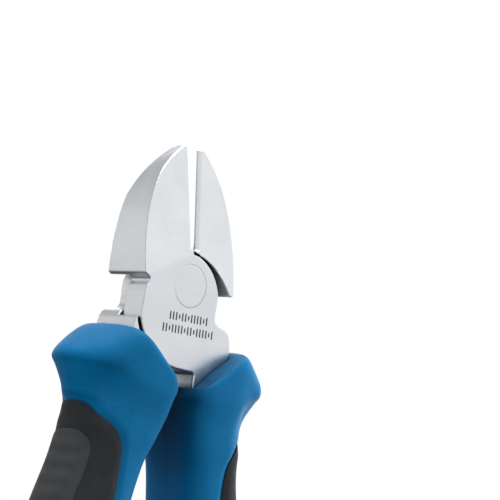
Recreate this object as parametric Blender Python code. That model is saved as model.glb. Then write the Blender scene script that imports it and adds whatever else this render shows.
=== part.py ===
"""Lap-jointed diagonal side cutter with two-component grips.

World frame: +Z runs along the tool towards the jaw tips, +X is to the right
seen from the front, and +Y points to the back.  The pivot axis is the Y axis,
and the back face of the joint lies in the plane Y = 0.

Both levers are the same forging turned half a turn about the Z axis.  Each is
modelled in its own closed position and then turned about the pivot by half of
the rest opening.  Lengths named below are in millimetres.
"""
import math

import bmesh
import bpy
from mathutils import Matrix, Vector

MM = 0.001

# Head and joint
HEAD_THICK = 10.5
REST_OPEN_DEG = 5.0
LAP_GAP = 0.3
EDGE_GAP = 0.3
RIVET_DIAMETER = 8.3
RIVET_HOLE_DIAMETER = 8.9
MID_Y = -HEAD_THICK / 2
FRONT_Y = -HEAD_THICK

# Jaws: the front facets fall back towards the tips and, a little, outwards
TIP_Z = 26.9
TIP_WIDTH = 1.6
FRONT_FACET_Z = 6.3
FRONT_FACET_SLOPE = 0.216
FRONT_FACET_TILT = 0.11
BACK_FACET_Z = 16.2
BACK_FACET_SLOPE = 0.3
CUT_START_Z = 6.9
BEVEL_SIZE = 1.0
RELIEF_DEG = 46.0
RELIEF_MAX_X = 8.6
JAW_BOTTOM_Z = 0.45

# Joint outlines
BOSS_CENTRE = (-1.52, -3.2)
BOSS_RADIUS = 9.55
HOLLOW_CENTRE = (0.26, -6.76)
HOLLOW_RADIUS = 12.98
SHOULDER_GAP = 0.45

# Tangs
TANG_END_Z = -104.0
TANG_THICK = 6.4
TANG_THIN_Z = -23.0

# Grips: each section is (inner point, outer point, front and back depth, inner and
# outer squareness), for the right-hand grip from its rim down to its end
FIT_GAP = 0.3
GRIP_SEGMENTS = 28
GRIP_STEPS = 2
GRIP_SECTIONS = [
    ((2.5, -18.9), (14.0, -10.4), 10.2, 7.2, 6.0, 3.8),
    ((2.3, -19.4), (16.6, -11.4), 10.6, 8.7, 7.0, 3.0),
    ((1.9, -20.1), (20.5, -14.4), 10.6, 9.3, 8.0, 2.4),
    ((1.7, -21.1), (23.9, -17.9), 10.5, 9.8, 8.0, 1.9),
    ((1.9, -22.6), (22.9, -20.2), 10.3, 9.5, 7.0, 1.9),
    ((2.1, -26.2), (20.5, -24.8), 9.5, 8.6, 6.0, 1.9),
    ((3.1, -30.2), (19.2, -29.5), 9.0, 7.8, 5.0, 2.0),
    ((4.6, -36.3), (19.6, -37.0), 8.5, 8.0, 4.0, 2.1),
    ((6.4, -50.4), (22.1, -51.0), 9.0, 8.8, 3.0, 2.6),
    ((8.6, -68.5), (23.8, -69.2), 9.3, 9.3, 3.0, 2.6),
    ((9.6, -88.6), (23.4, -89.2), 8.8, 8.8, 3.0, 2.6),
    ((8.3, -108.6), (20.5, -109.1), 7.9, 7.9, 3.0, 2.6),
    ((6.0, -124.5), (16.8, -125.0), 7.0, 7.0, 3.0, 2.6),
    ((5.3, -131.5), (14.1, -131.9), 5.6, 5.6, 2.6, 2.4),
    ((6.6, -133.3), (12.6, -133.6), 3.6, 3.6, 2.4, 2.2),
]
INSERT_THICK = 2.0
PAD_THICK = 1.0
PAD_HALF_WIDTH = 5.8
PAD_TOP_Z = -31.3
PAD_END_Z = -112.0
MOUTH_END_Z = -27.5

STEEL = ("steel", (0.62, 0.64, 0.66, 1.0), 0.32, 1.0)
BLUE = ("blue_plastic", (0.005, 0.085, 0.24, 1.0), 0.42, 0.0)
BLACK = ("black_rubber", (0.02, 0.021, 0.023, 1.0), 0.6, 0.0)
GREY = ("grey_rubber", (0.07, 0.072, 0.075, 1.0), 0.65, 0.0)


# ---------------------------------------------------------------- helpers

def clear_scene():
    for item in list(bpy.data.objects):
        bpy.data.objects.remove(item, do_unlink=True)


def make_material(name, colour, roughness, metallic):
    material = bpy.data.materials.get(name)
    if material is None:
        material = bpy.data.materials.new(name)
        material.use_nodes = True
        shader = material.node_tree.nodes["Principled BSDF"]
        shader.inputs["Base Color"].default_value = colour
        shader.inputs["Roughness"].default_value = roughness
        shader.inputs["Metallic"].default_value = metallic
    return material


def make_object(name, mesh_data, finish=None):
    """Link a bmesh to the scene as one object; cutters have no finish."""
    bmesh.ops.recalc_face_normals(mesh_data, faces=mesh_data.faces)
    mesh = bpy.data.meshes.new(name)
    mesh_data.to_mesh(mesh)
    mesh_data.free()
    item = bpy.data.objects.new(name, mesh)
    bpy.context.collection.objects.link(item)
    if finish is None:
        item.hide_render = True
        item.display_type = "WIRE"
    else:
        mesh.materials.append(make_material(*finish))
    return item


def spline(points, steps=6):
    """A smooth curve (Catmull-Rom) through the points, ends included."""
    curve = []
    last = len(points) - 1
    for i in range(last):
        before = Vector(points[max(i - 1, 0)])
        start = Vector(points[i])
        end = Vector(points[i + 1])
        after = Vector(points[min(i + 2, last)])
        for k in range(steps):
            t = k / steps
            bend = 2 * before - 5 * start + 4 * end - after
            twist = 3 * start - before - 3 * end + after
            curve.append(0.5 * (2 * start + (end - before) * t + bend * t**2 + twist * t**3))
    curve.append(Vector(points[last]))
    return [tuple(point) for point in curve]


def arc(centre, radius, start_deg, end_deg, steps):
    points = []
    for k in range(steps + 1):
        angle = math.radians(start_deg + (end_deg - start_deg) * k / steps)
        points.append((centre[0] + radius * math.cos(angle), centre[1] + radius * math.sin(angle)))
    return points


def prism(name, outline, y_front, y_back, finish=None):
    """A closed plate: the XZ outline (mm) swept from y_front to y_back."""
    shape = bmesh.new()
    corners = [shape.verts.new((x * MM, y_front * MM, z * MM)) for x, z in outline]
    face = shape.faces.new(corners)
    swept = bmesh.ops.extrude_face_region(shape, geom=[face])
    moved = [part for part in swept["geom"] if isinstance(part, bmesh.types.BMVert)]
    bmesh.ops.translate(shape, verts=moved, vec=(0, (y_back - y_front) * MM, 0))
    return make_object(name, shape, finish)


def hull(name, points, finish=None):
    """The convex solid round a few points (mm)."""
    shape = bmesh.new()
    for point in points:
        shape.verts.new([value * MM for value in point])
    bmesh.ops.convex_hull(shape, input=shape.verts)
    return make_object(name, shape, finish)


def pin(name, diameter, y_front, y_back, segments, finish=None):
    """A cylinder on the pivot axis."""
    shape = bmesh.new()
    length = (y_back - y_front) * MM
    turn = Matrix.Rotation(math.radians(90), 4, "X")
    place = Matrix.Translation((0, (y_front + y_back) / 2 * MM, 0)) @ turn
    bmesh.ops.create_cone(shape, cap_ends=True, segments=segments, radius1=diameter / 2 * MM,
                          radius2=diameter / 2 * MM, depth=length, matrix=place)
    return make_object(name, shape, finish)


def cut(target, cutter):
    step = target.modifiers.new(cutter.name, "BOOLEAN")
    step.operation = "DIFFERENCE"
    step.solver = "EXACT"
    step.object = cutter


def keep_inside(target, room):
    """Keep only the part of the target that lies in the room."""
    step = target.modifiers.new(room.name, "BOOLEAN")
    step.operation = "INTERSECT"
    step.solver = "EXACT"
    step.object = room


# ---------------------------------------------------------------- outlines of one lever

def jaw_back():
    """Outer edge of the left jaw, from its bottom corner to its tip."""
    return spline([(-11.8, 0.9), (-11.65, 6.0), (-11.05, 10.5), (-10.1, 14.5), (-7.9, 19.9),
                   (-5.0, 23.8), (-TIP_WIDTH, TIP_Z)], 4)


def shoulder(offset):
    """Lower edge of the lap plate, which the other handle's shoulder follows."""
    points = spline([(-11.7, -7.6), (-10.5, -10.3), (-7.2, -13.7), (-2.8, -15.6), (2.9, -16.1)], 4)
    grown = []
    for x, z in points:
        reach = math.hypot(x, z)
        grown.append((x * (reach + offset) / reach, z * (reach + offset) / reach))
    return grown


def tang_inner():
    return spline([(3.6, -16.3), (3.9, -20.0), (6.6, -27.0), (9.4, -40.0), (13.2, -58.0),
                   (15.6, -80.0), (14.8, TANG_END_Z + 1.5)], 3)


def tang_outer():
    return spline([(16.6, TANG_END_Z), (20.2, -80.0), (19.6, -58.0), (17.0, -40.0),
                   (14.6, -27.0), (12.9, -17.0), (12.5, -11.2)], 3)


def lever_outline():
    """Whole outline of the front lever, closed position, seen from the front."""
    points = [(-EDGE_GAP / 2, TIP_Z)]
    points += reversed(jaw_back())
    points += [(-11.3, 0.45), (-10.56, -0.1), (-10.6, -0.65), (-11.1, -1.36), (-11.4, -2.6)]
    points += shoulder(0.0)
    points += tang_inner()
    points += tang_outer()
    points += [(12.1, -8.8), (11.4, -7.55), (10.2, -6.95), (8.8, -6.57), (7.8, -5.85),
               (7.5, -4.9), (7.7, -2.0)]
    points += arc(BOSS_CENTRE, BOSS_RADIUS, 15.5, 72.0, 12)
    points += [(1.0, 5.95), (-EDGE_GAP / 4, 6.0)]
    return points


def lap_outline():
    """What the lap joint takes out of the lever behind its front plate."""
    points = [(-EDGE_GAP / 4, 6.4), (-1.45, 6.14)]
    points += arc(HOLLOW_CENTRE, HOLLOW_RADIUS, 98.5, 146.3, 12)
    points += [(-15.0, JAW_BOTTOM_Z), (-15.0, -16.9), (3.2, -16.9)]
    points += [(-x, z) for x, z in reversed(shoulder(SHOULDER_GAP)) if -x > 3.2]
    points += [(16.0, -6.0), (16.0, 8.0), (-EDGE_GAP / 4, 8.0)]
    return points


# ---------------------------------------------------------------- steel parts

def facet_cutters(name):
    """Slabs that thin the jaws towards their tips: two in front, one behind."""
    reach = 40.0
    slabs = []
    for side, label in ((-1, "_left"), (1, "_right")):
        points = []
        for x in (0.0, 25.0):
            tilt = FRONT_FACET_TILT * x
            start = FRONT_FACET_Z - tilt / FRONT_FACET_SLOPE
            far_y = FRONT_Y + FRONT_FACET_SLOPE * (reach - start)
            points += [(side * x, FRONT_Y, start), (side * x, far_y, reach),
                       (side * x, FRONT_Y - 5, start), (side * x, FRONT_Y - 5, reach)]
        slabs.append(hull(name + label + "_facet_cutter", points))
    far_y = -BACK_FACET_SLOPE * (reach - BACK_FACET_Z)
    points = []
    for x in (-20.0, 20.0):
        points += [(x, 0.0, BACK_FACET_Z), (x, far_y, reach), (x, 5.0, BACK_FACET_Z), (x, 5.0, reach)]
    slabs.append(hull(name + "_back_facet_cutter", points))
    return slabs


def edge_y(z):
    """Depth of the cutting edges at a height: a bevel below the front facets."""
    return FRONT_Y + BEVEL_SIZE + FRONT_FACET_SLOPE * max(z - FRONT_FACET_Z, 0.0)


def edge_cutters(name):
    """The narrow bevels in front of the edges and the wide relief behind them."""
    top = TIP_Z + 4.0
    spread = math.tan(math.radians(RELIEF_DEG))
    bevel = []
    relief = []
    for z in (CUT_START_Z, top):
        y = edge_y(z)
        bevel.append((0.0, y + EDGE_GAP / 2, z))
        relief.append((0.0, y - EDGE_GAP / 2, z))
        for side in (-1, 1):
            bevel.append((side * 3.0, y - 3.0, z))
            depth = RELIEF_MAX_X / spread
            relief.append((side * RELIEF_MAX_X, y + depth, z))
            relief.append((side * RELIEF_MAX_X, y + depth + 12.0, z))
    return [hull(name + "_bevel_cutter", bevel), hull(name + "_relief_cutter", relief)]


def tang_cutters(name):
    """Slabs that thin the tang inside the grip, front and back."""
    slabs = []
    half = TANG_THICK / 2
    for side in (-1, 1):
        points = []
        for x in (-5.0, 40.0):
            points += [(x, MID_Y + side * half, TANG_THIN_Z - 3), (x, MID_Y + side * half, -120),
                       (x, MID_Y + side * 8, TANG_THIN_Z), (x, MID_Y + side * 8, -120)]
        label = "_tang_cutter_front" if side < 0 else "_tang_cutter_back"
        slabs.append(hull(name + label, points))
    return slabs


def lever(name, turned, parent):
    """One forging: the front lever, or the rear one turned about the Z axis."""
    body = prism(name, lever_outline(), FRONT_Y, 0.0, STEEL)
    cutters = [prism(name + "_lap_cutter", lap_outline(), MID_Y - LAP_GAP / 2, 2.0)]
    cutters += tang_cutters(name)
    if turned:
        spin = Matrix.Translation((0, MID_Y * MM, 0)) @ Matrix.Rotation(math.pi, 4, "Z")
        spin = spin @ Matrix.Translation((0, -MID_Y * MM, 0))
        for item in [body] + cutters:
            item.data.transform(spin)
    cutters += facet_cutters(name) + edge_cutters(name)
    cutters.append(pin(name + "_hole_cutter", RIVET_HOLE_DIAMETER, FRONT_Y - 2, 2.0, 40))
    for item in [body] + cutters:
        item.parent = parent
    for cutter in cutters:
        cut(body, cutter)
    return body


def pivot_rivet(parent):
    body = pin("pivot_rivet", RIVET_DIAMETER, FRONT_Y, 0.0, 40, STEEL)
    body.parent = parent
    return body


# ---------------------------------------------------------------- grips

def grip_ring(section, inset):
    """Points of one grip section: a superellipse in the plane of its chord and Y."""
    inner = Vector(section[0:2])
    outer = Vector(section[2:4])
    front_depth, back_depth, inner_power, outer_power = section[4:8]
    middle = (inner + outer) / 2
    along = (outer - inner).normalized()
    reach = (outer - inner).length / 2 - inset
    ring = []
    for k in range(GRIP_SEGMENTS):
        angle = 2 * math.pi * (k + 0.5) / GRIP_SEGMENTS
        c = math.cos(angle)
        s = math.sin(angle)
        power = 2 / (outer_power if c > 0 else inner_power)
        spot = middle + along * math.copysign(abs(c) ** power, c) * reach
        depth = math.copysign(abs(s) ** power, s) * ((back_depth if s > 0 else front_depth) - inset)
        ring.append((spot[0] * MM, (MID_Y + depth) * MM, spot[1] * MM))
    return ring


def grip_solid(name, mirror, inset=0.0, finish=None):
    """The whole outer shape of one grip, or the same shape drawn in by an inset."""
    sections = spline([(*inner, *outer, *rest) for inner, outer, *rest in GRIP_SECTIONS], GRIP_STEPS)
    shape = bmesh.new()
    rings = [[shape.verts.new(point) for point in grip_ring(section, inset)] for section in sections]
    for upper, lower in zip(rings, rings[1:]):
        for k in range(GRIP_SEGMENTS):
            after = (k + 1) % GRIP_SEGMENTS
            shape.faces.new((upper[k], upper[after], lower[after], lower[k]))
    shape.faces.new(rings[0])
    shape.faces.new(rings[-1])
    if mirror:
        bmesh.ops.scale(shape, verts=shape.verts, vec=(-1, 1, 1))
    return make_object(name, shape, finish)


def grown(points, distance):
    """An open outline moved sideways, to its right as it runs."""
    moved = []
    last = len(points) - 1
    for i, (x, z) in enumerate(points):
        along = (Vector(points[min(i + 1, last)]) - Vector(points[max(i - 1, 0)])).normalized()
        moved.append((x + along[1] * distance, z - along[0] * distance))
    return moved


def mirrored(points, mirror):
    return [(-x, z) for x, z in points] if mirror else points


def insert_room(name, mirror, gap):
    """Where the black insert lies, seen from the front, with a gap round it."""
    edge = spline([(24.0, -25.8), (19.5, -26.3), (17.4, -28.2), (14.2, -30.6), (12.2, -35.0),
                   (12.4, -48.0), (14.8, -68.0), (15.2, -88.0), (13.2, -108.0), (12.0, -117.0),
                   (15.0, -123.5), (22.0, -125.0)], 2)
    edge = grown(edge, gap)
    outline = edge + [(40.0, edge[-1][1]), (40.0, edge[0][1])]
    return prism(name, mirrored(outline, mirror), MID_Y - 15, MID_Y + 15)


def pad_room(name, mirror, gap):
    """Where the pad lies: a long box on the outer side, with a gap round it."""
    half = PAD_HALF_WIDTH + gap
    top = PAD_TOP_Z + gap
    end = PAD_END_Z - gap
    outline = [(12.0, top), (12.0, end), (40.0, end), (40.0, top)]
    return prism(name, mirrored(outline, mirror), MID_Y - half, MID_Y + half)


def socket_cutters(name, mirror):
    """The pocket for the tang: full thickness at its mouth, slim below."""
    inner = grown(tang_inner(), FIT_GAP)
    outer = grown(tang_outer(), FIT_GAP)
    end = [(inner[-1][0], TANG_END_Z - 1.0), (outer[0][0], TANG_END_Z - 1.0)]
    half = TANG_THICK / 2 + FIT_GAP
    slim = prism(name + "_slim", mirrored(inner + end + outer, mirror), MID_Y - half, MID_Y + half)
    top = [point for point in inner + outer if point[1] > MOUTH_END_Z]
    half = HEAD_THICK / 2 + FIT_GAP
    mouth = prism(name + "_mouth", mirrored(top, mirror), MID_Y - half, MID_Y + half)
    return [slim, mouth]


def grip(side, mirror, parent):
    """Blue shell, black insert and grey pad of one handle."""
    shell = grip_solid(side + "_grip_shell", mirror, 0.0, BLUE)
    insert = grip_solid(side + "_grip_insert", mirror, 0.0, BLACK)
    pad = grip_solid(side + "_grip_pad", mirror, 0.0, GREY)

    shell_room = insert_room(side + "_shell_room", mirror, FIT_GAP)
    shell_core = grip_solid(side + "_shell_core", mirror, INSERT_THICK + FIT_GAP)
    cut(shell_room, shell_core)
    sockets = socket_cutters(side + "_socket", mirror)
    for cutter in [shell_room] + sockets:
        cut(shell, cutter)

    outer_room = insert_room(side + "_insert_room", mirror, 0.0)
    insert_core = grip_solid(side + "_insert_core", mirror, INSERT_THICK)
    seat_room = pad_room(side + "_pad_seat", mirror, FIT_GAP)
    seat_core = grip_solid(side + "_pad_seat_core", mirror, PAD_THICK + FIT_GAP)
    cut(seat_room, seat_core)
    keep_inside(insert, outer_room)
    cut(insert, insert_core)
    cut(insert, seat_room)

    inlay_room = pad_room(side + "_pad_room", mirror, 0.0)
    pad_core = grip_solid(side + "_pad_core", mirror, PAD_THICK)
    keep_inside(pad, inlay_room)
    cut(pad, pad_core)

    pieces = [shell, insert, pad, shell_room, shell_core, outer_room, insert_core]
    for item in pieces + sockets + [seat_room, seat_core, inlay_room, pad_core]:
        item.parent = parent


# ---------------------------------------------------------------- assembly

def half_tool(name, angle_deg):
    """An empty on the pivot axis; positive angles turn the jaws to the right."""
    empty = bpy.data.objects.new(name, None)
    bpy.context.collection.objects.link(empty)
    empty.rotation_euler = (0, math.radians(angle_deg), 0)
    return empty


def main():
    clear_scene()
    front = half_tool("front_half", -REST_OPEN_DEG / 2)
    rear = half_tool("rear_half", REST_OPEN_DEG / 2)
    lever("front_lever", False, front)
    lever("rear_lever", True, rear)
    pivot_rivet(rear)
    grip("right", False, front)
    grip("left", True, rear)


main()
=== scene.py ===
import math

import bmesh
import bpy
import numpy as np
from mathutils import Matrix, Vector


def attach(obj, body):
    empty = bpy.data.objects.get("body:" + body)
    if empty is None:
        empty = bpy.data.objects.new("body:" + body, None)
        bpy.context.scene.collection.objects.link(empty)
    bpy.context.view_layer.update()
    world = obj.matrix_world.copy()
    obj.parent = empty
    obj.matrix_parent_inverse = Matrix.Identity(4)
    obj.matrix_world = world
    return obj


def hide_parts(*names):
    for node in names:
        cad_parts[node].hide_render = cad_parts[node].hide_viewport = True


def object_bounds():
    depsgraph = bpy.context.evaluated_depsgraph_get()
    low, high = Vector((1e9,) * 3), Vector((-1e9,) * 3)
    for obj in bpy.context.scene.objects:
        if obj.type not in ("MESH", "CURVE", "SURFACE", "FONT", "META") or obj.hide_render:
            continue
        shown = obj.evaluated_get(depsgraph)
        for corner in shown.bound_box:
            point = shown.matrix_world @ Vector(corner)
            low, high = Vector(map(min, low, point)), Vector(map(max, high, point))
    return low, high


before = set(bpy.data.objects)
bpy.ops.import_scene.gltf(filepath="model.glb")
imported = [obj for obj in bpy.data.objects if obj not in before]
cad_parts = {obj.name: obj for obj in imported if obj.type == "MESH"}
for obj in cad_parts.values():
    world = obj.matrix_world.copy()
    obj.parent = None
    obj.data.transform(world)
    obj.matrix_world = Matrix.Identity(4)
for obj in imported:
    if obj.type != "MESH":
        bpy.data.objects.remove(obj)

cad_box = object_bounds()

# Lengths are in millimetres, in the CAD frame, until MM turns them into metres.
MM = 0.001

# Head, as in the CAD model
HEAD_THICK = 10.5
MID_Y = -HEAD_THICK / 2
FRONT_Y = -HEAD_THICK
REST_OPEN_DEG = 5.0
EDGE_GAP = 0.3
LAP_GAP = 0.12
TIP_Z = 26.9
TIP_WIDTH = 1.6
FRONT_FACET_Z = 6.3
FRONT_FACET_SLOPE = 0.216
FRONT_FACET_TILT = 0.11
BACK_FACET_Z = 16.2
BACK_FACET_SLOPE = 0.3
CUT_START_Z = 6.9
BEVEL_SIZE = 1.0
RELIEF_DEG = 46.0
RELIEF_MAX_X = 8.6
JAW_BOTTOM_Z = 0.45
CREASE_ANGLE = math.radians(50)
BOSS_CENTRE = (-1.52, -3.2)
BOSS_RADIUS = 9.55
HOLLOW_CENTRE = (0.26, -6.76)
HOLLOW_RADIUS = 12.98
SHOULDER_GAP = 0.4
TANG_END_Z = -104.0
TANG_THICK = 6.4
TANG_THIN_Z = -23.0
RIVET_RADIUS = 4.15
RIVET_SEAM = 0.012
RIVET_SIDES = 96
# Each rim point: radius, and how far it lies under the lap face
RIVET_RIM = [(2.6, 0.02), (3.7, 0.0), (4.06, 0.005), (4.12, 0.02)]
RIVET_SINK = 0.03

# Etched bars: height of the row, its two ends, and which bars are tall
MARK_ROWS = [(-6.1, -4.7, 5.7, (1, 1, 1, 0, 1, 1, 0, 1, 1, 1, 1, 0, 1)),
             (-8.5, -6.2, 7.5, (1, 1, 0, 1, 1, 1, 1, 0, 1, 1, 0, 1, 1, 1, 1, 0, 1))]
MARK_HEIGHT = 1.6
MARK_SHORT = 0.55
MARK_WIDTH = 0.34
MARK_PROUD = 0.01
MARK_DEPTH = 0.05
MARK_POINTS = 20

# Fineness of the steel surfaces
VOXEL = 0.17
SOFTEN_STEPS = 6
KEEP_RATIO = 0.35

# Grips, as in the CAD model: inner and outer point, front and back depth, and how square the
# section is on its inner and outer side
GRIP_SECTIONS = [
    ((2.5, -18.9), (14.0, -10.4), 10.2, 7.2, 6.0, 3.8),
    ((2.3, -19.4), (16.6, -11.4), 10.6, 8.7, 7.0, 3.0),
    ((1.9, -20.1), (20.5, -14.4), 10.6, 9.3, 8.0, 2.4),
    ((1.7, -21.1), (23.9, -17.9), 10.5, 9.8, 8.0, 1.9),
    ((1.9, -22.6), (22.9, -20.2), 10.3, 9.5, 7.0, 1.9),
    ((2.1, -26.2), (20.5, -24.8), 9.5, 8.6, 6.0, 1.9),
    ((3.1, -30.2), (19.2, -29.5), 9.0, 7.8, 5.0, 2.0),
    ((4.6, -36.3), (19.6, -37.0), 8.5, 8.0, 4.0, 2.1),
    ((6.4, -50.4), (22.1, -51.0), 9.0, 8.8, 3.0, 2.6),
    ((8.6, -68.5), (23.8, -69.2), 9.3, 9.3, 3.0, 2.6),
    ((9.6, -88.6), (23.4, -89.2), 8.8, 8.8, 3.0, 2.6),
    ((8.3, -108.6), (20.5, -109.1), 7.9, 7.9, 3.0, 2.6),
    ((6.0, -124.5), (16.8, -125.0), 7.0, 7.0, 3.0, 2.6),
    ((5.3, -131.5), (14.1, -131.9), 5.6, 5.6, 2.6, 2.4),
    ((6.6, -133.3), (12.6, -133.6), 3.6, 3.6, 2.4, 2.2),
]
GRIP_COLUMNS = 160
GRIP_SPACING = 0.45
SOCKET_GAP = 0.12
MOUTH_END_Z = -27.5
TOP_ROUNDING = 0.9
# Dish under the finger guard, the swelling above it and the notch beside that, on the front and
# the back: centre, height, reach
SCULPTED_SPOTS = [((17.6, -13.6, -22.4), -1.6, 5.0), ((19.3, -13.4, -17.4), 0.45, 2.6),
                  ((13.5, -14.6, -17.5), -0.25, 2.6)]
# Rings that close the ends of a grip: scale, and how far the lower end bulges
END_RINGS = ((0.9, 0.25), (0.72, 0.55), (0.5, 0.8), (0.25, 0.95))
PARTING_HEIGHT = 0.1
# The shell dips along the insert's border
STEP_DEPTH = 0.55
STEP_WIDTH = 1.5
# Room between a soft zone and its seat
SEAT_GAP = 0.05
INSERT_DEPTH = 2.0
INSERT_RISE = 0.1
INSERT_ROUND = 1.8
PAD_DEPTH = 1.0
PAD_RISE = 0.35
PAD_END_RADIUS = 5.0
RIB_PITCH = 3.2
RIB_HEIGHT = 0.3
PAD_BASE = INSERT_RISE - 0.15
GRIP_CREASE_ANGLE = math.radians(40)
INSERT_EDGE = [(24.0, -25.8), (19.5, -26.3), (17.4, -28.2), (14.2, -30.6), (12.2, -35.0), (12.4, -48.0),
               (14.8, -68.0), (15.2, -88.0), (13.2, -108.0), (12.0, -117.0), (15.0, -123.5),
               (22.0, -125.0)]
PAD_HALF_WIDTH = 5.8
PAD_TOP_Z = -31.3
PAD_END_Z = -112.0
PAD_START_X = 12.0
PAD_REACH_X = 28.0
PAD_END_POINTS = 24
PAD_SQUARENESS = 2.6


# ---------------------------------------------------------------- shape helpers

def spline(points, steps):
    """A smooth curve (Catmull-Rom) through the points, ends included."""
    points = [np.array(point, dtype=float) for point in points]
    last = len(points) - 1
    curve = []
    for i in range(last):
        before, start, end, after = (points[max(i - 1, 0)], points[i], points[i + 1],
                                     points[min(i + 2, last)])
        for k in range(steps):
            t = k / steps
            bend = 2 * before - 5 * start + 4 * end - after
            twist = 3 * start - before - 3 * end + after
            curve.append(0.5 * (2 * start + (end - before) * t + bend * t**2 + twist * t**3))
    curve.append(points[last])
    return [tuple(float(value) for value in point) for point in curve]


def bent(value, power):
    """A power that keeps the sign of the value."""
    return math.copysign(abs(value) ** power, value)


def arc(centre, radius, start_deg, end_deg, steps):
    """Points along an arc, ends included."""
    points = []
    for k in range(steps + 1):
        angle = math.radians(start_deg + (end_deg - start_deg) * k / steps)
        points.append((centre[0] + radius * math.cos(angle), centre[1] + radius * math.sin(angle)))
    return points


def link(name, shape):
    """A temporary object, still in millimetres."""
    bmesh.ops.recalc_face_normals(shape, faces=shape.faces)
    mesh = bpy.data.meshes.new(name)
    shape.to_mesh(mesh)
    shape.free()
    item = bpy.data.objects.new(name, mesh)
    bpy.context.collection.objects.link(item)
    return item


def sweep(name, corners, way):
    """A solid from a closed outline of corners, pushed along a vector."""
    shape = bmesh.new()
    face = shape.faces.new([shape.verts.new(corner) for corner in corners])
    swept = bmesh.ops.extrude_face_region(shape, geom=[face])
    moved = [part for part in swept["geom"] if isinstance(part, bmesh.types.BMVert)]
    bmesh.ops.translate(shape, verts=moved, vec=way)
    return link(name, shape)


def prism(outline, y_front, y_back):
    """An outline in X and Z with its thickness along Y."""
    return sweep("prism", [(x, y_front, z) for x, z in outline], (0, y_back - y_front, 0))


def bridge(shape, one, two):
    """A band of faces between two loops of the same number of vertices."""
    for k in range(len(one)):
        after = (k + 1) % len(one)
        shape.faces.new((one[k], one[after], two[after], two[k]))


def hull(points):
    """The convex solid around the points."""
    shape = bmesh.new()
    for point in points:
        shape.verts.new(point)
    bmesh.ops.convex_hull(shape, input=shape.verts)
    return link("hull", shape)


def pin(radius, y_front, y_back, segments):
    """A cylinder on the pivot axis."""
    shape = bmesh.new()
    middle = Matrix.Translation((0, (y_front + y_back) / 2, 0))
    place = middle @ Matrix.Rotation(math.radians(90), 4, "X")
    bmesh.ops.create_cone(shape, cap_ends=True, segments=segments, radius1=radius, radius2=radius,
                          depth=y_back - y_front, matrix=place)
    return link("pin", shape)


def discard(items):
    for item in items:
        bpy.data.objects.remove(item, do_unlink=True)


def settle(item):
    """Apply an object's modifiers to its mesh."""
    bpy.context.view_layer.update()
    graph = bpy.context.evaluated_depsgraph_get()
    mesh = bpy.data.meshes.new_from_object(item.evaluated_get(graph))
    item.modifiers.clear()
    item.data = mesh


def carve(item, cutters):
    """Cut every cutter out of the item."""
    for cutter in cutters:
        step = item.modifiers.new("carve", "BOOLEAN")
        step.operation = "DIFFERENCE"
        step.solver = "EXACT"
        step.object = cutter
    settle(item)
    discard(cutters)


def soften_shading(item, crease):
    item.data.shade_smooth()
    item.data.set_sharp_from_angle(angle=crease)


def finish_piece(item, name, turn_deg, finish, body, nodes):
    """Turn a piece to the rest pose, change to metres, and hand it to the frame."""
    turn = Matrix.Rotation(math.radians(turn_deg), 4, "Y")
    item.data.transform(Matrix.Scale(MM, 4) @ turn)
    item.name = name
    item.data.name = name
    item.data.materials.clear()
    item.data.materials.append(finish)
    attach(item, body)
    if nodes:
        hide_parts(*nodes)


# ---------------------------------------------------------------- steel levers

def jaw_back():
    """The bowed outer edge of a jaw, from its bottom corner to the tip."""
    return spline([(-11.8, 0.9), (-11.65, 6.0), (-11.05, 10.5), (-10.1, 14.5), (-7.9, 19.9),
                   (-5.0, 23.8), (-TIP_WIDTH, TIP_Z)], 10)


def shoulder(offset):
    """The lower round of a lap plate, moved outward by an offset."""
    edge = spline([(-11.7, -7.6), (-10.5, -10.3), (-7.2, -13.7), (-2.8, -15.6), (2.9, -16.1)], 10)
    moved = []
    for x, z in edge:
        reach = math.hypot(x, z)
        moved.append((x * (reach + offset) / reach, z * (reach + offset) / reach))
    return moved


def tang_inner():
    return spline([(3.6, -16.3), (3.9, -20.0), (6.6, -27.0), (9.4, -40.0), (13.2, -58.0),
                   (15.6, -80.0), (14.8, TANG_END_Z + 1.5)], 5)


def tang_outer():
    return spline([(16.6, TANG_END_Z), (20.2, -80.0), (19.6, -58.0), (17.0, -40.0),
                   (14.6, -27.0), (12.9, -17.0), (12.5, -11.2)], 5)


def lever_outline():
    """The front lever seen from the front: jaw, lap plate and tang, jaws closed."""
    points = [(-EDGE_GAP / 2, TIP_Z)]
    points += reversed(jaw_back())
    points += [(-11.3, 0.45), (-10.56, -0.1), (-10.6, -0.65), (-11.1, -1.36), (-11.4, -2.6)]
    points += shoulder(0.0)
    points += tang_inner()
    points += tang_outer()
    points += spline([(12.1, -8.8), (11.4, -7.55), (10.2, -6.95), (8.8, -6.57), (7.8, -5.85),
                      (7.5, -4.9), (7.62, -3.6), (7.7, -2.0)], 5)
    points += arc(BOSS_CENTRE, BOSS_RADIUS, 15.5, 72.0, 40)
    points += spline([(1.0, 5.95), (0.4, 6.0), (-EDGE_GAP / 4, 6.0)], 4)
    return points


def lap_outline():
    """What is cut from the front lever's back half to let the rear lever lap it."""
    points = spline([(-EDGE_GAP / 4, 6.4), (-0.7, 6.35), (-1.45, 6.14)], 4)
    points += arc(HOLLOW_CENTRE, HOLLOW_RADIUS, 98.5, 146.3, 36)
    points += [(-15.0, JAW_BOTTOM_Z), (-15.0, -16.9), (3.2, -16.9)]
    points += [(-x, z) for x, z in reversed(shoulder(SHOULDER_GAP)) if -x > 3.2]
    points += [(16.0, -6.0), (16.0, 8.0), (-EDGE_GAP / 4, 8.0)]
    return points


def edge_y(z):
    """How far back the cutting edge lies at a height."""
    return FRONT_Y + BEVEL_SIZE + FRONT_FACET_SLOPE * max(z - FRONT_FACET_Z, 0.0)


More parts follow.
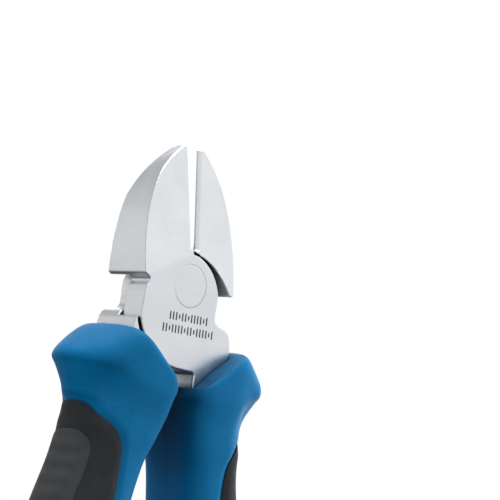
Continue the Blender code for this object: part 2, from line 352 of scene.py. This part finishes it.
def jaw_cutters():
    """Front and back facets, the narrow bevels and the wide relief behind the edges."""
    reach = 40.0
    cutters = []
    for side in (-1, 1):
        points = []
        for x in (0.0, 25.0):
            start = FRONT_FACET_Z - FRONT_FACET_TILT * x / FRONT_FACET_SLOPE
            far_y = FRONT_Y + FRONT_FACET_SLOPE * (reach - start)
            points += [(side * x, FRONT_Y, start), (side * x, far_y, reach),
                       (side * x, FRONT_Y - 5, start), (side * x, FRONT_Y - 5, reach)]
        cutters.append(hull(points))
    far_y = -BACK_FACET_SLOPE * (reach - BACK_FACET_Z)
    points = []
    for x in (-20.0, 20.0):
        points += [(x, 0.0, BACK_FACET_Z), (x, far_y, reach), (x, 5.0, BACK_FACET_Z), (x, 5.0, reach)]
    cutters.append(hull(points))
    depth = RELIEF_MAX_X / math.tan(math.radians(RELIEF_DEG))
    bevel = []
    relief = []
    for z in (CUT_START_Z, TIP_Z + 4.0):
        y = edge_y(z)
        bevel.append((0.0, y + EDGE_GAP / 2, z))
        relief.append((0.0, y - EDGE_GAP / 2, z))
        for side in (-1, 1):
            bevel.append((side * 3.0, y - 3.0, z))
            relief.append((side * RELIEF_MAX_X, y + depth, z))
            relief.append((side * RELIEF_MAX_X, y + depth + 12.0, z))
    return cutters + [hull(bevel), hull(relief)]


def tang_cutters():
    """Slabs in front and behind that thin the tang inside the grip."""
    slabs = []
    for side in (-1, 1):
        points = []
        for x in (-5.0, 40.0):
            points += [(x, MID_Y + side * TANG_THICK / 2, TANG_THIN_Z - 3),
                       (x, MID_Y + side * TANG_THICK / 2, -120),
                       (x, MID_Y + side * 8, TANG_THIN_Z), (x, MID_Y + side * 8, -120)]
        slabs.append(hull(points))
    return slabs


def make_lever(name, turned, turn_deg, finish, body, node):
    """A forging with softly broken edges: booleans, a fine remesh, then smoothing."""
    item = prism(lever_outline(), FRONT_Y, 0.0)
    cutters = [prism(lap_outline(), MID_Y - LAP_GAP / 2, 2.0)] + tang_cutters()
    if turned:
        spin = (Matrix.Translation((0, MID_Y, 0)) @ Matrix.Rotation(math.pi, 4, "Z")
                @ Matrix.Translation((0, -MID_Y, 0)))
        for part in [item] + cutters:
            part.data.transform(spin)
    carve(item, cutters + jaw_cutters())
    step = item.modifiers.new("remesh", "REMESH")
    step.mode = "VOXEL"
    step.voxel_size = VOXEL * 1
    step = item.modifiers.new("soften", "SMOOTH")
    step.factor = 0.5
    step.iterations = SOFTEN_STEPS
    step = item.modifiers.new("thin_out", "DECIMATE")
    step.ratio = KEEP_RATIO
    settle(item)
    carve(item, [pin(RIVET_RADIUS + RIVET_SEAM, FRONT_Y - 2, 2.0, RIVET_SIDES)])
    soften_shading(item, CREASE_ANGLE)
    finish_piece(item, name, turn_deg, finish, body, [node])


def make_rivet(finish):
    """Flush rivet with finely broken rims and a shallow dished face."""
    rim = RIVET_RIM + [(RIVET_RADIUS, 0.06)]
    rings = [(radius, FRONT_Y + sunk) for radius, sunk in rim]
    rings += [(radius, -sunk) for radius, sunk in reversed(rim)]
    angles = [2 * math.pi * k / RIVET_SIDES for k in range(RIVET_SIDES)]
    shape = bmesh.new()
    loops = [[shape.verts.new((radius * math.cos(angle), y, radius * math.sin(angle)))
              for angle in angles] for radius, y in rings]
    for one, two in zip(loops, loops[1:]):
        bridge(shape, one, two)
    for loop, y in ((loops[0], FRONT_Y + RIVET_SINK), (loops[-1], -RIVET_SINK)):
        centre = shape.verts.new((0, y, 0))
        for k in range(RIVET_SIDES):
            shape.faces.new((loop[k], loop[(k + 1) % RIVET_SIDES], centre))
    item = link("rivet", shape)
    soften_shading(item, CREASE_ANGLE)
    finish_piece(item, "pivot_rivet_head", 0.0, finish, "rear_half", ["pivot_rivet"])


# ---------------------------------------------------------------- grips

def blend_sections(position):
    """Grip section values at fractional positions along GRIP_SECTIONS (Catmull-Rom)."""
    rows = np.array([(*inner, *outer, *rest) for inner, outer, *rest in GRIP_SECTIONS])
    last = len(rows) - 1
    index = np.clip(np.floor(position).astype(int), 0, last - 1)
    t = (position - index)[:, None]
    before, start = rows[np.maximum(index - 1, 0)], rows[index]
    end, after = rows[index + 1], rows[np.minimum(index + 2, last)]
    bend = 2 * before - 5 * start + 4 * end - after
    twist = 3 * start - before - 3 * end + after
    return 0.5 * (2 * start + (end - before) * t + bend * t**2 + twist * t**3)


def section_ring(values):
    """One section as evenly spaced points: from the outer middle round the front to the inner
    one, and back."""
    inner, outer = values[0:2], values[2:4]
    front_depth, back_depth, inner_power, outer_power = values[4:8]
    half = np.linalg.norm(outer - inner) / 2
    along = (outer - inner) / (2 * half)
    middle = (inner + outer) / 2
    angle = np.linspace(0.0, np.pi, 500)
    power = np.where(np.cos(angle) > 0, outer_power, inner_power)
    sides = []
    for side, depth in ((-1, front_depth), (1, back_depth)):
        radius = ((np.abs(np.cos(angle)) / half) ** power
                  + (np.abs(np.sin(angle)) / depth) ** power) ** (-1 / power)
        across = radius * np.cos(angle)
        deep = radius * np.sin(angle)
        length = np.concatenate([[0], np.cumsum(np.hypot(np.diff(across), np.diff(deep)))])
        even = np.linspace(0, length[-1], GRIP_COLUMNS // 2 + 1)
        across = np.interp(even, length, across)
        deep = np.interp(even, length, deep)
        spots = np.stack([middle[0] + along[0] * across, MID_Y + side * deep,
                          middle[1] + along[1] * across], axis=1)
        sides.append(spots)
    return np.concatenate([sides[0][:-1], sides[1][:0:-1]])


def grip_grid():
    """Rings of points over a grip, evenly spaced in length, and their distance from the top."""
    fine = np.linspace(0, len(GRIP_SECTIONS) - 1, 600)
    values = blend_sections(fine)
    middle = (values[:, 0:2] + values[:, 2:4]) / 2
    length = np.concatenate([[0], np.cumsum(np.linalg.norm(np.diff(middle, axis=0), axis=1))])
    count = int(length[-1] / GRIP_SPACING)
    position = np.interp(np.linspace(0, length[-1], count), length, fine)
    rings = np.stack([section_ring(row) for row in blend_sections(position)])
    return rings, np.linspace(0, length[-1], count)


def grid_normals(rings):
    """Outward directions at every point of the rings."""
    around = np.roll(rings, -1, axis=1) - np.roll(rings, 1, axis=1)
    down = np.gradient(rings, axis=0)
    normal = np.cross(down, around)
    normal /= np.linalg.norm(normal, axis=2)[:, :, None]
    middle = rings.mean(axis=1, keepdims=True)
    if ((rings - middle) * normal).sum() < 0:
        normal = -normal
    return normal


def smooth_step(value, start, end):
    """0 before start, 1 after end, and a smooth ramp between."""
    t = np.clip((value - start) / (end - start), 0, 1)
    return t * t * (3 - 2 * t)


def border_distance(x, z):
    """Distance from the insert's border seen from the front; negative on the insert."""
    edge = spline(INSERT_EDGE, 8)
    line = np.array([(60.0, edge[0][1])] + edge + [(60.0, edge[-1][1])])
    start, step = line[:-1], np.diff(line, axis=0)
    spot = np.stack([x.ravel(), z.ravel()], axis=1)[:, None, :]
    t = np.clip(((spot - start) * step).sum(axis=2) / (step**2).sum(axis=1), 0, 1)
    gap = np.linalg.norm(spot - (start + step * t[:, :, None]), axis=2).min(axis=1)
    z_line = line[:, 1]
    x_line = np.interp(spot[:, 0, 1], z_line[::-1], line[::-1, 0])
    inside = (spot[:, 0, 0] > x_line) & (spot[:, 0, 1] < z_line[0]) & (spot[:, 0, 1] > z_line[-1])
    return np.where(inside, -gap, gap).reshape(x.shape)


def skin(name, offset):
    """The closed outer form of the right grip, with every point moved along its normal."""
    rings = GRIP_GRID[0]
    rings = rings + grid_normals(rings) * offset[:, :, None]
    shape = bmesh.new()
    verts = [[shape.verts.new(spot) for spot in ring] for ring in rings]
    for upper, lower in zip(verts, verts[1:]):
        bridge(shape, upper, lower)
    for loop, ring, dome in ((verts[0], rings[0], 0.0), (verts[-1], rings[-1], 1.0)):
        middle = ring.mean(axis=0)
        for scale, sink in END_RINGS:
            drop = np.array([0, 0, -sink * dome])
            inner = [shape.verts.new(middle + (spot - middle) * scale + drop) for spot in ring]
            bridge(shape, loop, inner)
            loop = inner
        shape.faces.new(loop)
    return link(name, shape)


def grown(points, distance):
    """A line of points moved sideways."""
    moved = []
    last = len(points) - 1
    for i, (x, z) in enumerate(points):
        ahead = np.array(points[min(i + 1, last)]) - np.array(points[max(i - 1, 0)])
        ahead = ahead / np.linalg.norm(ahead)
        moved.append((x + ahead[1] * distance, z - ahead[0] * distance))
    return moved


def insert_room(gap):
    """Everything outward of the insert's border."""
    edge = grown(spline(INSERT_EDGE, 8), gap)
    return prism(edge + [(40.0, edge[-1][1]), (40.0, edge[0][1])], MID_Y - 15, MID_Y + 15)


def pad_room(gap):
    """The pad's outline on the outer side: long, with rounded ends."""
    half = PAD_HALF_WIDTH + gap
    power = 2 / PAD_SQUARENESS
    points = []
    for k in range(PAD_END_POINTS):
        angle = math.pi * (k + 0.5) / PAD_END_POINTS
        points.append((half * bent(math.cos(angle), power),
                       PAD_TOP_Z + gap + PAD_END_RADIUS * (math.sin(angle) ** power - 1)))
    points += [(y, PAD_END_Z + PAD_TOP_Z - z) for y, z in reversed(points)]
    corners = [(PAD_START_X, MID_Y + y, z) for y, z in points]
    return sweep("pad_room", corners, (PAD_REACH_X, 0, 0))


def socket_cutters():
    """The room for the tang, and for the thick head in the grip's mouth."""
    inner = grown(tang_inner(), SOCKET_GAP)
    outer = grown(tang_outer(), SOCKET_GAP)
    end = [(inner[-1][0], TANG_END_Z - 1.0), (outer[0][0], TANG_END_Z - 1.0)]
    half = TANG_THICK / 2 + SOCKET_GAP
    slim = prism(inner + end + outer, MID_Y - half, MID_Y + half)
    top = [point for point in inner + outer if point[1] > MOUTH_END_Z]
    half = HEAD_THICK / 2 + SOCKET_GAP
    return [slim, prism(top, MID_Y - half, MID_Y + half)]


def combine(item, other, operation):
    """A quick boolean of two clean closed forms; the second one is used up."""
    step = item.modifiers.new("combine", "BOOLEAN")
    step.operation = operation
    step.solver = "MANIFOLD"
    step.object = other
    settle(item)
    discard([other])
    return item


def mirror_copy(item):
    """The same piece for the left handle."""
    mesh = item.data.copy()
    mesh.transform(Matrix.Scale(-1, 4, (1, 0, 0)))
    mesh.flip_normals()
    copy = bpy.data.objects.new(item.name + "_mirrored", mesh)
    bpy.context.collection.objects.link(copy)
    return copy


def make_shell(base, flat, border):
    """The hard body: parting lines, sculpted front and back, insert seat and tang socket."""
    rings = GRIP_GRID[0]
    x, y, z = rings[:, :, 0], rings[:, :, 1], rings[:, :, 2]
    parting = np.zeros_like(base)
    parting[:, 0] = PARTING_HEIGHT
    parting[:, rings.shape[1] // 2] = PARTING_HEIGHT
    lip = -STEP_DEPTH * (1 - smooth_step(border, 0.0, STEP_WIDTH))
    sculpt = np.zeros_like(base)
    for (centre_x, centre_y, centre_z), height, reach in SCULPTED_SPOTS:
        for side in (-1, 1):
            across = y - MID_Y - side * (MID_Y - centre_y)
            apart = (x - centre_x)**2 + across**2 + (z - centre_z)**2
            sculpt += height * np.exp(-apart / reach**2)
    shell = skin("shell", base + sculpt + np.where(border > 0, parting, 0) + lip)
    room = combine(insert_room(SEAT_GAP), skin("core", flat - INSERT_DEPTH), "DIFFERENCE")
    combine(shell, room, "DIFFERENCE")
    for cutter in socket_cutters():
        combine(shell, cutter, "DIFFERENCE")
    return shell


def make_insert(base, flat, border):
    """The soft zone on the outer side, rounded along its border, with the pad's seat."""
    rise = STEP_DEPTH + INSERT_RISE
    swell = -STEP_DEPTH + rise * np.sqrt(smooth_step(-border, -0.4, INSERT_ROUND))
    insert = combine(insert_room(0.0), skin("swollen", base + swell), "INTERSECT")
    combine(insert, skin("core", flat - INSERT_DEPTH + SEAT_GAP), "DIFFERENCE")
    seat = combine(pad_room(SEAT_GAP), skin("core", flat - PAD_DEPTH), "DIFFERENCE")
    return combine(insert, seat, "DIFFERENCE")


def make_pad(flat):
    """The ribbed pad, crowned towards its middle."""
    rings = GRIP_GRID[0]
    y, z = rings[:, :, 1], rings[:, :, 2]
    wave = 0.5 + 0.5 * np.cos(2 * np.pi * (z - PAD_TOP_Z) / RIB_PITCH)
    from_ends = np.minimum(PAD_TOP_Z - z, z - PAD_END_Z)
    inland = np.minimum(PAD_HALF_WIDTH - np.abs(y - MID_Y), from_ends)
    ribs = RIB_HEIGHT * (wave ** 0.7) * smooth_step(inland, 1.2, 2.4)
    crown = PAD_RISE * np.sqrt(smooth_step(inland, 0.0, 1.0))
    pad = combine(pad_room(0.0), skin("ribbed", flat + PAD_BASE + crown + ribs), "INTERSECT")
    return combine(pad, skin("core", flat - PAD_DEPTH + SEAT_GAP), "DIFFERENCE")


def make_grips(blue, black, grey):
    """The right grip's three pieces, and mirror copies for the left one."""
    rings, depth = GRIP_GRID
    down = np.repeat(depth[:, None], rings.shape[1], axis=1)
    border = border_distance(rings[:, :, 0], rings[:, :, 2])
    short = np.maximum(TOP_ROUNDING - down, 0)
    base = -TOP_ROUNDING + np.sqrt(np.maximum(TOP_ROUNDING**2 - short**2, 0))
    flat = np.zeros_like(base)
    pieces = ((make_shell(base, flat, border), "shell", blue, "blue_plastic"),
              (make_insert(base, flat, border), "insert", black, "black_rubber"),
              (make_pad(flat), "pad", grey, "grey_rubber"))
    for item, part, finish, slot in pieces:
        soften_shading(item, GRIP_CREASE_ANGLE)
        left = mirror_copy(item)
        finish_piece(item, "right_grip_" + part + "_moulding", -REST_OPEN_DEG / 2, finish, "front_half",
                     ["right_grip_" + part])
        finish_piece(left, "left_grip_" + part + "_moulding", REST_OPEN_DEG / 2, finish, "rear_half",
                     ["left_grip_" + part])


# ---------------------------------------------------------------- etched marks

def make_marks(finish):
    """Two plain rows of short etched bars across the front lever."""
    shape = bmesh.new()
    for row_z, row_start, row_end, pattern in MARK_ROWS:
        step = (row_end - row_start) / len(pattern)
        for k, tall in enumerate(pattern):
            height = MARK_HEIGHT if tall else MARK_HEIGHT * MARK_SHORT
            centre_x = row_start + (k + 0.5) * step
            outline = []
            for n in range(MARK_POINTS):
                angle = 2 * math.pi * (n + 0.5) / MARK_POINTS
                outline.append((centre_x + MARK_WIDTH / 2 * bent(math.cos(angle), 0.5),
                                row_z + height / 2 * bent(math.sin(angle), 0.25)))
            front = [shape.verts.new((x, FRONT_Y - MARK_PROUD, z)) for x, z in outline]
            back = [shape.verts.new((x, FRONT_Y + MARK_DEPTH, z)) for x, z in outline]
            shape.faces.new(front)
            shape.faces.new(back[::-1])
            bridge(shape, front, back)
    item = link("marks", shape)
    finish_piece(item, "etched_bars", -REST_OPEN_DEG / 2, finish, "front_half", [])


# ---------------------------------------------------------------- materials

class Finish:
    """A Principled material with helpers for procedural detail in the piece's own coordinates."""

    def __init__(self, name, roughness, metallic=0.0, specular=0.5):
        self.material = bpy.data.materials.new(name)
        self.material.use_nodes = True
        self.tree = self.material.node_tree
        self.shader = self.tree.nodes["Principled BSDF"]
        self.shader.inputs["Roughness"].default_value = roughness
        self.shader.inputs["Metallic"].default_value = metallic
        self.shader.inputs["Specular IOR Level"].default_value = specular
        self.coordinates = self.tree.nodes.new("ShaderNodeTexCoord").outputs["Object"]
        self.bump = None

    def join(self, source, target):
        self.tree.links.new(source, target)

    def stretched(self, factors):
        node = self.tree.nodes.new("ShaderNodeMapping")
        node.inputs["Scale"].default_value = factors
        self.join(self.coordinates, node.inputs["Vector"])
        return node.outputs["Vector"]

    def noise(self, size_mm, detail=3.0, roughness=0.55, factors=None):
        """Noise whose blobs are about size_mm wide."""
        node = self.tree.nodes.new("ShaderNodeTexNoise")
        node.inputs["Scale"].default_value = 1000.0 / size_mm
        node.inputs["Detail"].default_value = detail
        node.inputs["Roughness"].default_value = roughness
        self.join(self.stretched(factors) if factors else self.coordinates, node.inputs["Vector"])
        return node.outputs["Fac"]

    def cells(self, size_mm):
        node = self.tree.nodes.new("ShaderNodeTexVoronoi")
        node.inputs["Scale"].default_value = 1000.0 / size_mm
        self.join(self.coordinates, node.inputs["Vector"])
        return node.outputs["Distance"]

    def ramp(self, value, stops):
        """Map a value through (position, level or colour) stops."""
        node = self.tree.nodes.new("ShaderNodeValToRGB")
        elements = node.color_ramp.elements
        while len(elements) < len(stops):
            elements.new(0.5)
        for element, (position, level) in zip(elements, stops):
            element.position = position
            element.color = (*level, 1.0) if isinstance(level, tuple) else (level, level, level, 1.0)
        self.join(value, node.inputs["Fac"])
        return node.outputs["Color"]

    def painted_crevice_shade(self, reach_mm, stops):
        """Painted shade: darker colour where other surfaces are close, in gaps and corners."""
        node = self.tree.nodes.new("ShaderNodeAmbientOcclusion")
        node.samples = 12
        node.inputs["Distance"].default_value = reach_mm * MM
        return self.ramp(node.outputs["AO"], stops)

    def mixed(self, one, two):
        """Two sources multiplied."""
        node = self.tree.nodes.new("ShaderNodeMix")
        node.data_type = "RGBA"
        node.blend_type = "MULTIPLY"
        node.inputs["Factor"].default_value = 1.0
        self.join(one, node.inputs["A"])
        self.join(two, node.inputs["B"])
        return node.outputs["Result"]

    def relief(self, height, depth_mm, strength):
        """Add a layer of bump on top of the earlier ones."""
        node = self.tree.nodes.new("ShaderNodeBump")
        node.inputs["Strength"].default_value = strength
        node.inputs["Distance"].default_value = depth_mm * MM
        self.join(height, node.inputs["Height"])
        if self.bump:
            self.join(self.bump, node.inputs["Normal"])
        self.bump = node.outputs["Normal"]
        self.join(self.bump, self.shader.inputs["Normal"])

    def colour(self, source):
        self.join(source, self.shader.inputs["Base Color"])

    def gloss(self, source):
        self.join(source, self.shader.inputs["Roughness"])


def steel_finish(name):
    """Satin-ground chrome vanadium steel: fine cross grinding, faint clouds and small scuffs, with
    painted shade in gaps and corners.
    """
    finish = Finish(name, roughness=0.34, metallic=1.0)
    clouds = finish.ramp(finish.noise(7.0, 4.0),
                         [(0.3, (0.745, 0.760, 0.775)), (0.7, (0.815, 0.830, 0.845))])
    specks = finish.ramp(finish.noise(0.35, 2.0), [(0.30, 0.97), (0.5, 1.0)])
    grinding = finish.noise(0.22, 4.0, 0.65, (0.06, 1.0, 1.0))
    lines = finish.ramp(grinding, [(0.3, 0.955), (0.65, 1.0)])
    body = finish.mixed(finish.mixed(clouds, specks), lines)
    # Painted shade: ambient occlusion darkens the steel's colour in narrow gaps and near other parts.
    near = finish.painted_crevice_shade(1.0, [(0.05, 0.10), (0.62, 1.0)])
    wide = finish.painted_crevice_shade(4.5, [(0.05, 0.13), (0.35, 0.32), (0.60, 0.84), (0.85, 1.0)])
    finish.colour(finish.mixed(body, finish.mixed(near, wide)))
    smears = finish.ramp(finish.noise(3.5, 5.0, 0.6), [(0.3, 0.29), (0.7, 0.40)])
    streaks = finish.ramp(grinding, [(0.3, 0.88), (0.7, 1.0)])
    finish.gloss(finish.mixed(smears, streaks))
    finish.relief(grinding, 0.006, 0.5)
    finish.relief(finish.noise(0.9, 3.0), 0.010, 0.35)
    return finish.material


def plastic_finish(name):
    """Hard blue plastic with a fine spark-eroded grain and slightly rubbed high spots, with painted
    shade where other surfaces are close.
    """
    finish = Finish(name, roughness=0.48, specular=0.12)
    finish.shader.inputs["Sheen Weight"].default_value = 0.38
    finish.shader.inputs["Sheen Roughness"].default_value = 0.22
    finish.shader.inputs["Sheen Tint"].default_value = (0.55, 0.80, 1.0, 1.0)
    tone = finish.ramp(finish.noise(9.0, 3.0),
                       [(0.3, (0.0003, 0.138, 0.325)), (0.7, (0.0005, 0.158, 0.365))])
    grain = finish.noise(0.32, 3.0, 0.6)
    dust = finish.ramp(grain, [(0.35, 0.90), (0.62, 1.06)])
    # Painted shade: ambient occlusion darkens the blue between the grips and beside the steel.
    shade = finish.painted_crevice_shade(13.0, [(0.25, 0.25), (0.96, 1.0)])
    finish.colour(finish.mixed(finish.mixed(tone, dust), shade))
    finish.gloss(finish.ramp(finish.noise(2.2, 5.0, 0.6), [(0.3, 0.44), (0.7, 0.58)]))
    finish.relief(grain, 0.035, 0.45)
    finish.relief(finish.noise(1.6, 2.0), 0.03, 0.3)
    return finish.material


def rubber_finish(name, dark, light, rough):
    """Soft moulded rubber: matt, with fine pores and a little dust."""
    finish = Finish(name, roughness=rough, specular=0.3)
    tone = finish.ramp(finish.noise(5.0, 5.0, 0.6), [(0.3, dark), (0.7, light)])
    pores = finish.ramp(finish.cells(0.35), [(0.0, 0.80), (0.35, 1.0)])
    finish.colour(finish.mixed(tone, pores))
    finish.gloss(finish.ramp(finish.noise(1.8, 4.0), [(0.3, rough - 0.08), (0.7, rough + 0.08)]))
    finish.relief(finish.noise(0.28, 3.0, 0.6), 0.04, 0.5)
    return finish.material


def etched_finish(name):
    """Dark grey of acid-etched steel, a little uneven."""
    finish = Finish(name, roughness=0.6, metallic=0.3)
    finish.colour(finish.ramp(finish.noise(0.25, 3.0),
                              [(0.3, (0.035, 0.036, 0.038)), (0.7, (0.07, 0.072, 0.075))]))
    finish.gloss(finish.ramp(finish.noise(0.4, 2.0), [(0.3, 0.5), (0.7, 0.7)]))
    return finish.material


# ---------------------------------------------------------------- camera and studio

# From the object to the camera, and the camera's upward direction
CAMERA_BACK = Vector((-0.7002, -0.7003, -0.1388)).normalized()
CAMERA_UP = Vector((-0.202, 0.008, 0.979)).normalized()
CAMERA_ASIDE = 0.01119
CAMERA_RAISED = 0.00681
DISTANCE = 0.5
PIXELS_PER_MM = 5.3
PICTURE_PIXELS = 500
SENSOR_WIDTH = 36.0
FLOOR_RADIUS = 6.0

# The surroundings' brightness by direction: each table holds the cosine to its axis and a level,
# and the three levels are multiplied.
FRONT_RIGHT = (0.7, -0.7, 0.1)
BEHIND = (0.70, 0.70, 0.14)
LEVEL_SCALE = 2.0
AROUND_LEVELS = ((-1.0, 1.02), (-0.87, 0.88), (-0.72, 0.62), (-0.40, 0.54), (0.0, 1.05), (1.0, 1.12))
HEIGHT_LEVELS = ((-1.0, 0.10), (-0.45, 0.22), (-0.15, 0.64), (0.08, 0.86), (0.35, 0.92), (1.0, 0.80))
BEHIND_LEVELS = ((-1.0, 1.0), (0.70, 1.0), (0.92, 1.5), (1.0, 1.6))


def make_camera():
    data = bpy.data.cameras.new("camera")
    camera = bpy.data.objects.new("camera", data)
    bpy.context.collection.objects.link(camera)
    right = CAMERA_UP.cross(CAMERA_BACK).normalized()
    up = CAMERA_BACK.cross(right)
    focus = Vector((0, FRONT_Y * MM, 0)) + right * CAMERA_ASIDE + up * CAMERA_RAISED
    matrix = Matrix((right, up, CAMERA_BACK)).transposed().to_4x4()
    matrix.translation = focus + CAMERA_BACK * DISTANCE
    camera.matrix_world = matrix
    data.sensor_width = SENSOR_WIDTH
    data.lens = PIXELS_PER_MM * SENSOR_WIDTH * DISTANCE / MM / PICTURE_PIXELS
    data.clip_start = 0.01
    bpy.context.scene.camera = camera


def world_level(tree, direction, axis, stops):
    """A brightness level read from a table by the cosine between a direction and an axis."""
    nodes = tree.nodes
    dot = nodes.new("ShaderNodeVectorMath")
    dot.operation = "DOT_PRODUCT"
    dot.inputs[1].default_value = Vector(axis).normalized()
    tree.links.new(direction, dot.inputs[0])
    table = nodes.new("ShaderNodeFloatCurve")
    curve = table.mapping.curves[0]
    while len(curve.points) < len(stops):
        curve.points.new(0.5, 0.5)
    for point, (position, level) in zip(curve.points, stops):
        point.location = (position / 2 + 0.5, level / LEVEL_SCALE)
        point.handle_type = "VECTOR"
    table.mapping.update()
    place = nodes.new("ShaderNodeMath")
    place.operation = "MULTIPLY_ADD"
    place.inputs[1].default_value = 0.5
    place.inputs[2].default_value = 0.5
    tree.links.new(dot.outputs["Value"], place.inputs[0])
    tree.links.new(place.outputs[0], table.inputs["Value"])
    return table.outputs["Value"]


def make_world():
    """Soft studio surroundings, plain white where the camera looks at them."""
    world = bpy.data.worlds.new("studio")
    bpy.context.scene.world = world
    world.use_nodes = True
    tree = world.node_tree
    nodes = tree.nodes
    surround = nodes["Background"]
    surround.inputs["Color"].default_value = (0.97, 0.985, 1.0, 1)
    backdrop = nodes.new("ShaderNodeBackground")
    backdrop.inputs["Color"].default_value = (1, 1, 1, 1)
    direction = nodes.new("ShaderNodeTexCoord").outputs["Generated"]
    product = world_level(tree, direction, FRONT_RIGHT, AROUND_LEVELS)
    for factor in (world_level(tree, direction, (0, 0, 1), HEIGHT_LEVELS),
                   world_level(tree, direction, BEHIND, BEHIND_LEVELS), LEVEL_SCALE ** 3):
        step = nodes.new("ShaderNodeMath")
        step.operation = "MULTIPLY"
        tree.links.new(product, step.inputs[0])
        if isinstance(factor, float):
            step.inputs[1].default_value = factor
        else:
            tree.links.new(factor, step.inputs[1])
        product = step.outputs[0]
    tree.links.new(product, surround.inputs["Strength"])
    path = nodes.new("ShaderNodeLightPath").outputs["Is Camera Ray"]
    choose = nodes.new("ShaderNodeMixShader")
    tree.links.new(path, choose.inputs[0])
    tree.links.new(surround.outputs[0], choose.inputs[1])
    tree.links.new(backdrop.outputs[0], choose.inputs[2])
    tree.links.new(choose.outputs[0], nodes["World Output"].inputs["Surface"])


def make_light(name, place, target, size, power, mirrored=True):
    """A round soft lamp; one that isn't mirrored leaves the gloss alone."""
    data = bpy.data.lights.new(name, "AREA")
    data.shape = "DISK"
    data.size = size
    data.energy = power
    light = bpy.data.objects.new(name, data)
    bpy.context.collection.objects.link(light)
    light.location = place
    aim = Vector(target) - Vector(place)
    light.rotation_euler = aim.to_track_quat("-Z", "Y").to_euler()
    light.visible_glossy = mirrored


def make_floor():
    """A pale floor that the camera sees and the object doesn't mirror."""
    shape = bmesh.new()
    bmesh.ops.create_circle(shape, cap_ends=True, segments=64, radius=FLOOR_RADIUS)
    mesh = bpy.data.meshes.new("floor")
    shape.to_mesh(mesh)
    shape.free()
    floor = bpy.data.objects.new("floor", mesh)
    bpy.context.collection.objects.link(floor)
    floor.location = (0, 0, cad_box[0][2])
    finish = Finish("pale_floor", roughness=0.9, specular=0.2)
    finish.colour(finish.ramp(finish.noise(60.0),
                              [(0.3, (0.90, 0.905, 0.91)), (0.7, (0.93, 0.935, 0.94))]))
    finish.shader.inputs["Emission Color"].default_value = (1.0, 1.0, 1.0, 1.0)
    finish.shader.inputs["Emission Strength"].default_value = 0.24
    finish.material.cycles.emission_sampling = "NONE"
    mesh.materials.append(finish.material)
    floor.visible_glossy = False
    floor.visible_diffuse = False


make_camera()
make_world()
make_floor()
LIT_POINT = (0, 0, -0.03)
make_light("top", (0.08, 0.02, 0.80), LIT_POINT, 1.0, 6.5)
make_light("right", (0.74, -0.16, 0.20), LIT_POINT, 0.5, 6.0, mirrored=False)
make_light("left", (-0.74, 0.06, 0.10), LIT_POINT, 0.5, 1.6, mirrored=False)

steel = steel_finish("satin_steel")
make_lever("front_lever_forging", False, -REST_OPEN_DEG / 2, steel, "front_half", "front_lever")
make_lever("rear_lever_forging", True, REST_OPEN_DEG / 2, steel, "rear_half", "rear_lever")
make_rivet(steel)
make_marks(etched_finish("etched_grey"))
GRIP_GRID = grip_grid()
make_grips(plastic_finish("blue_plastic"),
           rubber_finish("black_rubber", (0.010, 0.0112, 0.0135), (0.018, 0.0198, 0.0235), 0.6),
           rubber_finish("grey_rubber", (0.034, 0.035, 0.038), (0.048, 0.049, 0.053), 0.62))

bpy.context.scene.view_settings.view_transform = "Standard"
